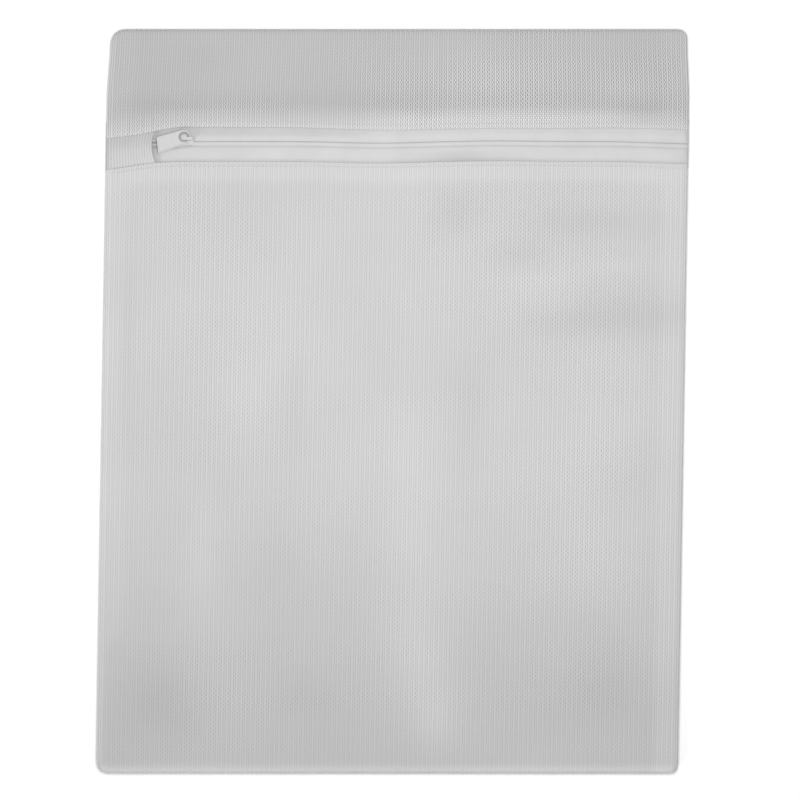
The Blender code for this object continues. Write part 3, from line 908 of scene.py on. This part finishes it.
def tape_whiteness(side, across, x):
    """The upper tape is painted greyer at the left, and the lower one gets painted shade where it
    dips beside its hem. Both get painted shade where they come out from under the keeper, where
    the lamps cast too little shade."""
    # Painted shade in the hollow where the tapes come out from under the keeper.
    keeper_shade = 1 - 0.24 * (1 - ease((x - KEEPER_EDGE - 1.0 * MM) / (4 * MM)))
    if side > 0:
        return keeper_shade * (1 - 0.08 * ease((-0.005 - x) / 0.03) * ease((across - 1.6) / 1.5))
    return keeper_shade * (1 - 0.09 * hump(x, 0.032, 0.034) * ease((across - 3.6) / 3.0))


def tape_place(side):
    """The upper tape's side is 1 and the lower one's is -1."""
    def place(x, point):
        across, up = point
        fade = ease(1 - across / FREE_EDGE)
        y = ZIP_Y + side * (across * MM + chain_spread(x) * fade)
        y += zip_droop(x)
        pucker = 0.10 * math.sin(x / MM * 0.9) * math.sin(across * 0.7 + x / MM * 0.21)
        pucker += 0.07 * math.sin(x / MM * 2.3 + side * 1.3)
        z = TAPE_Z + (up + pucker * ease((across - 2.4) / 2.0) + TAPE_LIFT) * MM
        if side < 0:
            z -= 0.5 * MM * hump(x, 0.030, 0.050) * ease((across - 4.5) / 3.0)
        z -= KEEPER_PRESS * ease((KEEPER_EDGE - x) / (3 * MM))
        z = SEAM_Z + (z - SEAM_Z) * curl_rise(HALF_WIDTH - abs(x))
        return (x + SKEW * y, y, z), (across * MM, x), tape_whiteness(side, across, x)
    return place


def chain_columns(side):
    """Stations along the zip for the whole lower side, or for one half of the upper side."""
    left, right = (-1.0 if side <= 0 else 0.0), (1.0 if side >= 0 else 0.0)
    columns = across_bag(left, right, 1.6 * MM)
    if side < 0:
        return columns[:-1] + [-END_SLIVER, 0.0]
    if side > 0:
        return [0.0, END_SLIVER] + columns[1:]
    return columns


tape_lower = grid_sheet(
    "tape_lower", chain_columns(0), LOWER_SECTION, tape_place(-1), ZIP_TAPE, TAPE_CLOTH)
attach(tape_lower, "root")
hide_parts("zip_tape_lower")
for label, side in (("left", -1), ("right", 1)):
    tape = grid_sheet(f"tape_upper_{label}", chain_columns(side), UPPER_SECTION, tape_place(1),
                      ZIP_TAPE, TAPE_CLOTH)
    lift_with_flap(tape)
    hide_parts("zip_tape_upper")
print("tape width, mm:", round(TAPE_WIDTH / MM, 1))

# %% [markdown]
# ## Coils
# Each side of the chain is one nylon filament wound into a flat spiral. Spin turns a small
# ring of points round the coil's axis and steps it along as it goes, which winds the whole
# spiral in one call. The spiral is then pressed a little flat and bent to follow the tape.

# %% Wind the coils
COIL_PITCH = 1.3 * MM
COIL_HALF_WIDTH = 1.02 * MM
COIL_HALF_HEIGHT = 0.62 * MM
FILAMENT = 0.26 * MM
STEPS_PER_TURN = 10
TURNS_A_BATCH = 5            # turns wound at once, before the batches are joined
COIL_Z = (coil_low.z + coil_high.z) / 2 + 0.08 * MM


def wound_batch():
    """A few turns of filament about the X axis, open at both ends."""
    bm = bmesh.new()
    ring = bmesh.ops.create_circle(
        bm, cap_ends=False, segments=5, radius=FILAMENT,
        matrix=Matrix.Translation((0, 0, COIL_HALF_WIDTH)))
    bmesh.ops.rotate(bm, cent=(0, 0, COIL_HALF_WIDTH),
                     matrix=Matrix.Rotation(math.radians(90), 3, "X"), verts=ring["verts"])
    bmesh.ops.spin(
        bm, geom=bm.verts[:] + bm.edges[:], cent=(0, 0, 0), axis=(1, 0, 0),
        dvec=(COIL_PITCH / STEPS_PER_TURN, 0, 0), angle=2 * math.pi * TURNS_A_BATCH,
        steps=TURNS_A_BATCH * STEPS_PER_TURN, use_merge=False, use_duplicate=False)
    winding = bpy.data.meshes.new("winding")
    bm.to_mesh(winding)
    bm.free()
    return winding


def wound_coil(name, side, low, high):
    """Batches of turns joined end to end from low to high along X, on one side of the zip."""
    winding = wound_batch()
    batches = int((high - low) / (COIL_PITCH * TURNS_A_BATCH))
    bm = bmesh.new()
    for index in range(batches):
        bm.from_mesh(winding)
        bm.verts.ensure_lookup_table()
        fresh = bm.verts[index * len(winding.vertices):]
        bmesh.ops.translate(bm, verts=fresh, vec=(index * TURNS_A_BATCH * COIL_PITCH, 0, 0))
    bpy.data.meshes.remove(winding)
    bmesh.ops.remove_doubles(bm, verts=bm.verts, dist=0.01 * MM)
    bmesh.ops.holes_fill(bm, edges=[edge for edge in bm.edges if edge.is_boundary], sides=5)
    offset = COIL_HALF_WIDTH - 0.22 * MM
    for vert in bm.verts:
        x = vert.co.x + low
        y = ZIP_Y + side * (offset + chain_spread(x)) + vert.co.y + zip_droop(x)
        z = COIL_Z + vert.co.z * COIL_HALF_HEIGHT / COIL_HALF_WIDTH
        z -= KEEPER_PRESS * ease((KEEPER_EDGE - x) / (3 * MM))
        vert.co = (x + SKEW * y, y, z)
    bmesh.ops.recalc_face_normals(bm, faces=bm.faces)
    return finish_piece(name, bm, NYLON)


coil_reach = HALF_WIDTH - 3.5 * MM
coil_lower = wound_coil("coil_lower", -1, -coil_reach, coil_reach)
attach(coil_lower, "root")
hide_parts("zip_coil_lower")
for label, side in (("left", -1), ("right", 1)):
    low, high = (-coil_reach, 0.0) if side < 0 else (0.0, coil_reach)
    coil = wound_coil(f"coil_upper_{label}", 1, low + COIL_PITCH / 2, high + COIL_PITCH / 2)
    lift_with_flap(coil)
    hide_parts("zip_coil_upper")
print("coil turns on the lower side:", int(2 * coil_reach / COIL_PITCH))

# %% Stitches that hold the coils
RIDGE_UP = 0.30              # height of the stitched ridge over each coil, in millimetres
RIDGE_TOP = TAPE_Z + (RIDGE_UP + TAPE_LIFT) * MM + TAPE_CLOTH / 2
COIL_THREAD = (0.5 * MM, 0.2 * MM)
chain_start = keeper_high.x - 4 * MM - SKEW * ZIP_Y


def chain_stitches(side, low, high):
    return run_of_stitches(
        spaced(low, high, COIL_PITCH), lambda x: ZIP_Y + zip_droop(x)
        + side * (1.0 * MM + chain_spread(x)), RIDGE_TOP - 0.02 * MM, 0.12 * MM)


coil_thread_lower = stitch_line(
    "coil_thread_lower", chain_stitches(-1, chain_start, coil_reach), *COIL_THREAD, THREAD)
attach(coil_thread_lower, "root")
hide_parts("coil_stitch_lower")
for label, side in (("left", -1), ("right", 1)):
    low, high = (chain_start, 0.0) if side < 0 else (0.0, coil_reach)
    row = stitch_line(
        f"coil_thread_upper_{label}", chain_stitches(1, low, high), *COIL_THREAD, THREAD)
    lift_with_flap(row)
    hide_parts("coil_stitch_upper")
print("ridge top, mm:", round(RIDGE_TOP / MM, 2))

# %% [markdown]
# ## Elastic keeper
# A short piece of ribbed elastic bridges the closed end of the zip. Its ribs run across the
# zip and bow towards the free edge, because the elastic is held at top and bottom and pulled
# in the middle. The ribs are real waves in a fine grid, a little of their light and dark is
# painted on as well, and the weave between them is bump.

# %% Keeper
RIB_PITCH = 1.5 * MM
KEEPER_CLOTH = 0.5 * MM
KEEPER_Z = 4.95 * MM         # where its ends slip under the hems
TUCK = 1.6 * MM              # how far they slip under
keeper_left = SKEW * ZIP_Y - HALF_WIDTH + 0.1 * MM
keeper_span = keeper_high.x - keeper_left


def keeper_place(part, rise):
    """part runs from the side seam to the free edge, rise from the lower hem to the upper.
    Both ends are tucked in under the hems, and the elastic bulges a little between them."""
    x = keeper_left + keeper_span * part
    plain_x = x - SKEW * ZIP_Y
    low = lower_edge(plain_x)
    high = upper_edge(plain_x)
    y = low - TUCK + (high - low + 2 * TUCK) * rise
    between = min(1.0, max(0.0, (y - low) / (high - low)))
    middle = 1 - (2 * between - 1) ** 2
    bow = -1.8 * MM * middle * part ** 2 + 0.6 * MM * part * (1 - rise)
    wave = math.cos(2 * math.pi * part * keeper_span / RIB_PITCH)
    rib = (0.14 + 0.1 * middle) * MM * wave
    bulge = 1.15 * MM * middle ** 0.7 - 0.25 * MM * between
    z = KEEPER_Z + bulge + rib
    z = SEAM_Z + (z - SEAM_Z) * curl_rise(x - keeper_left)
    # Painted light and shade: the rib crests are painted paler and the troughs greyer, and the
    # upper half is painted greyer as shade under the upper hem.
    white = 1 + 0.05 * wave - 0.10 * ease((between - 0.45) / 0.35)
    return (x + bow, y, z), (part * keeper_span, rise * (high - low)), white


keeper = grid_sheet(
    "keeper", spaced(0.0, 1.0, 1 / 136), spaced(0.0, 1.0, 1 / 20), keeper_place,
    ELASTIC, KEEPER_CLOTH)
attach(keeper, "root")
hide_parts("elastic_keeper")
print("keeper ribs:", round(keeper_span / RIB_PITCH))

# %% Keeper stitches
ZIGZAG_STITCHES = 9


def zigzag_point(index):
    """A turning point of the zigzag, which lies on top of the elastic."""
    part = 0.055 if index % 2 else 0.105
    x, y, z = keeper_place(part, 0.14 + 0.72 * index / ZIGZAG_STITCHES)[0]
    return x, y, z + KEEPER_CLOTH / 2 + 0.08 * MM


zigzag = [(zigzag_point(index), zigzag_point(index + 1)) for index in range(ZIGZAG_STITCHES)]
keeper_thread = stitch_line("keeper_thread", zigzag, 0.34 * MM, 0.3 * MM, THREAD)
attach(keeper_thread, "root")
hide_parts("keeper_stitch")
print("keeper zigzag:", len(zigzag), "stitches")

# %% [markdown]
# ## Slider
# A moulded slider has two plates joined by a post. The edges are all rounded, because plastic
# has to leave its mould. The solid under it already has the right parts in the right
# places, so its copy is welded and its sharp edges are bevelled a little.

# %% Slider body
def rounded_copy(node, name, width, finish):
    """A welded copy of a solid, with its flat faces joined up and its sharp edges rounded."""
    bm = bmesh.new()
    bm.from_mesh(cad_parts[node].data)
    bmesh.ops.remove_doubles(bm, verts=bm.verts, dist=0.005 * MM)
    bmesh.ops.dissolve_limit(bm, angle_limit=math.radians(2), verts=bm.verts, edges=bm.edges)
    bmesh.ops.recalc_face_normals(bm, faces=bm.faces)
    sharp = [e for e in bm.edges if e.is_manifold and e.calc_face_angle() > math.radians(28)]
    bmesh.ops.bevel(bm, geom=sharp, offset=width, segments=3, profile=0.5, affect="EDGES",
                    material=-1, clamp_overlap=True)
    bmesh.ops.recalc_face_normals(bm, faces=bm.faces)
    piece = finish_piece(name, bm, finish)
    piece.data.set_sharp_from_angle(angle=math.radians(40))
    return piece


slider = rounded_copy("slider_body", "slider", 0.16 * MM, PLASTIC)
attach(slider, "slider")
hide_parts("slider_body")
print("slider faces:", len(slider.data.polygons))

# %% [markdown]
# ## Pull tab
# The tab hangs on the slider's arm by its eye. A bevel over the eye of the solid closes it with
# stray faces, so the tab is built afresh as a ring of cross sections that runs once round
# between the eye and the outline. Each has a raised rim at both, and a face sunk a little
# between the two rims, as moulded tabs have.

# %% Pull
EYE = Vector((-107.34, 135.5)) * MM    # the eye's centre
EYE_HOLE = 2.4 * MM
EYE_RADIUS = 3.8 * MM
TAB_YAW = math.radians(17.5)
TAB_REACH = 14.3 * MM        # from the eye's centre to the straight end
TAB_HALF = 4.2 * MM
TIP_ROUNDING = 0.8 * MM
TIP_SLANT = 0.20             # the straight end isn't quite square to the tab

# The section's points: beside the eye's hole or the outline, how far from it, on the top or the
# bottom, and the rise above that face, in millimetres
TAB_SECTION = (("eye", -0.05, "top", -0.4), ("eye", 0.2, "top", -0.14), ("eye", 0.42, "top", 0.0),
               ("eye", 0.58, "top", -0.18), ("edge", 0.78, "top", -0.18),
               ("edge", 0.60, "top", 0.0), ("edge", 0.16, "top", 0.0), ("edge", 0.0, "top", -0.16),
               ("edge", 0.0, "bottom", 0.16), ("edge", 0.16, "bottom", 0.0),
               ("eye", 0.1, "bottom", 0.0), ("eye", -0.05, "bottom", 0.14))


def tab_outline(inset):
    """The outline drawn in by an inset, about the eye's centre, with the straight end at -X."""
    radius = EYE_RADIUS - inset
    points = [(radius * math.cos(math.radians(a)), radius * math.sin(math.radians(a)))
              for a in range(-90, 91, 6)]
    rounding = max(TIP_ROUNDING - inset, 0.2 * MM)
    corner_x, corner_y = inset - TAB_REACH + rounding, TAB_HALF - inset - rounding
    spread = corner_y + rounding - radius
    points += [(part * corner_x, radius + part * spread) for part in (0.2, 0.4, 0.6, 0.8)]
    points += [(corner_x + rounding * math.cos(math.radians(a)),
                corner_y + rounding * math.sin(math.radians(a))) for a in range(90, 181, 18)]
    points += [(inset - TAB_REACH, part * corner_y) for part in (0.6, 0.2, -0.2, -0.6)]
    points += [(corner_x + rounding * math.cos(math.radians(a)),
                -corner_y + rounding * math.sin(math.radians(a))) for a in range(180, 271, 18)]
    points += [(part * corner_x, -radius - part * spread) for part in (0.8, 0.6, 0.4, 0.2)]
    return [(x - TIP_SLANT * y * min(0.0, x) / TAB_REACH, y) for x, y in points]


def tab_ring(kind, amount, level, rise):
    """One ring of points on the tab: near the eye's hole or near the outline."""
    z = (pull_high.z if level == "top" else pull_low.z) + rise * MM
    ring = tab_outline(amount * MM if kind == "edge" else 0.0)
    if kind == "eye":
        hole = EYE_HOLE + amount * MM
        ring = [tuple(Vector(point).normalized() * hole) for point in ring]
    turn = Matrix.Rotation(TAB_YAW, 2)
    return [(*(EYE + turn @ Vector(point)), z) for point in ring]


bm = bmesh.new()
rings = [[bm.verts.new(point) for point in tab_ring(*section)] for section in TAB_SECTION]
for first, second in zip(rings, rings[1:] + rings[:1]):
    for index in range(len(first)):
        bm.faces.new((first[index - 1], first[index], second[index], second[index - 1]))
bmesh.ops.recalc_face_normals(bm, faces=bm.faces)
pull = finish_piece("pull", bm, PLASTIC)
pull.data.set_sharp_from_angle(angle=math.radians(35))
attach(pull, "pull")
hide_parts("pull_tab")
print("pull faces:", len(pull.data.polygons))
